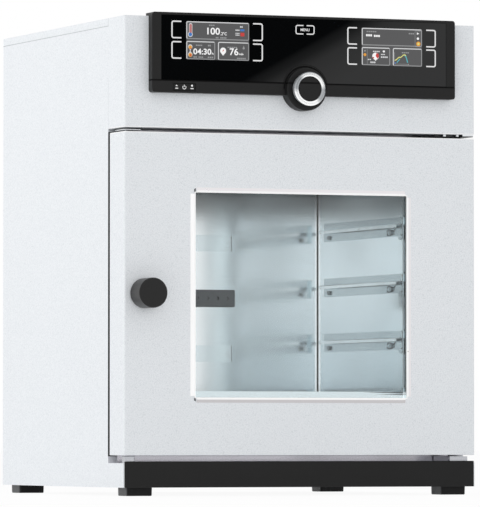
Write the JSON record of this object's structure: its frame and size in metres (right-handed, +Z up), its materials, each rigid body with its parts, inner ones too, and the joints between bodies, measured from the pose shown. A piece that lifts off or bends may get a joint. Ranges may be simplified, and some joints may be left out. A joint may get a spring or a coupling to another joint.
{
  "type": "vacuum oven",
  "caption": "Bench vacuum oven with a sheet casing, a square welded chamber with shelf rails, a hinged door with sight glass and latch knob, and a control panel with a turning dial.",
  "frame": {"origin": "on the floor, in the middle of the four feet", "axes": "+Z up, -Y out of the door, +X to the right as seen from the front"},
  "size_m": [0.55, 0.59, 0.692],
  "materials": {
    "casing_steel": "textured satin sheet",
    "liner_steel": "satin",
    "bright_steel": "bright",
    "black_plastic": "fine matt",
    "black_paint": "satin black",
    "dial_chrome": "polished",
    "black_glass": "gloss black",
    "clear_glass": "clear",
    "screen": "gloss",
    "seal_rubber": "matt silicone",
    "board_green": "resist",
    "valve_brass": "machined",
    "socket_grey": "matt",
    "heater_rubber": "matt silicone",
    "mineral_wool": "fibrous"
  },
  "bodies": {
    "cabinet": {"base_frame": "casing_steel", "casing_screws": "bright_steel", "chamber_flange": "liner_steel", "cockpit_housing": "black_plastic", "control_board": "board_green", "control_glass": "black_glass", "dial_encoder": "black_plastic", "display_left": "screen", "display_right": "screen", "door_gasket": "seal_rubber", "door_glide": "bright_steel", "electronics_deck": "bright_steel", "fascia_box": "casing_steel", "foot_front_left": "black_plastic", "foot_front_right": "black_plastic", "foot_rear_left": "black_plastic", "foot_rear_right": "black_plastic", "front_frame": "casing_steel", "gas_inlet_stub": "bright_steel", "heater_mats": "heater_rubber", "insulation_jacket": "mineral_wool", "latch_keeper": "bright_steel", "lid": "casing_steel", "lower_hinge": "bright_steel", "plinth_cover": "black_paint", "power_board": "board_green", "power_inlet": "black_plastic", "rail_screws": "bright_steel", "rear_panel": "casing_steel", "shelf_rail_left_1": "liner_steel", "shelf_rail_left_2": "liner_steel", "shelf_rail_left_3": "liner_steel", "shelf_rail_left_4": "liner_steel", "shelf_rail_right_1": "liner_steel", "shelf_rail_right_2": "liner_steel", "shelf_rail_right_3": "liner_steel", "shelf_rail_right_4": "liner_steel", "shelf_socket": "socket_grey", "side_panel_left": "casing_steel", "side_panel_right": "casing_steel", "socket_covers": "liner_steel", "upper_hinge": "bright_steel", "vacuum_chamber": "liner_steel", "vacuum_stub": "bright_steel", "valve_block": "valve_brass"},
    "door": {"door_shell": "casing_steel", "door_liner": "liner_steel", "window_frame": "casing_steel", "outer_pane": "clear_glass", "spacer_frame": "liner_steel", "glass_cushion": "seal_rubber", "inner_glass": "clear_glass", "door_insulation": "mineral_wool", "door_hinge_blocks": "bright_steel", "knob_bearing": "black_plastic"},
    "knob": {"door_knob": "black_plastic", "latch_shaft": "bright_steel"},
    "dial": {"dial_ring": "dial_chrome"},
    "dial_key": {"dial_button": "black_plastic"},
    "on_key": {"power_key": "black_plastic"}
  },
  "joints": [
    {"name": "door_hinge", "type": "hinge", "parent": "cabinet", "child": "door", "pos_m": [0.26, -0.23, 0.2895], "axis": [0, 0, 1], "range_deg": [0, 120]},
    {"name": "knob_turn", "type": "hinge", "parent": "door", "child": "knob", "pos_m": [-0.245, -0.255, 0.2895], "axis": [0, 1, 0], "range_deg": [0, 90]},
    {"name": "dial_turn", "type": "hinge", "parent": "cabinet", "child": "dial", "pos_m": [0, -0.275, 0.586], "axis": [0, 1, 0], "continuous": true},
    {"name": "dial_key_press", "type": "slide", "parent": "cabinet", "child": "dial_key", "axis": [0, 1, 0], "range_m": [0, 0.0012], "stiffness_N_per_m": 400},
    {"name": "on_key_press", "type": "slide", "parent": "cabinet", "child": "on_key", "axis": [0, 1, 0], "range_m": [0, 0.001], "stiffness_N_per_m": 400}
  ]
}
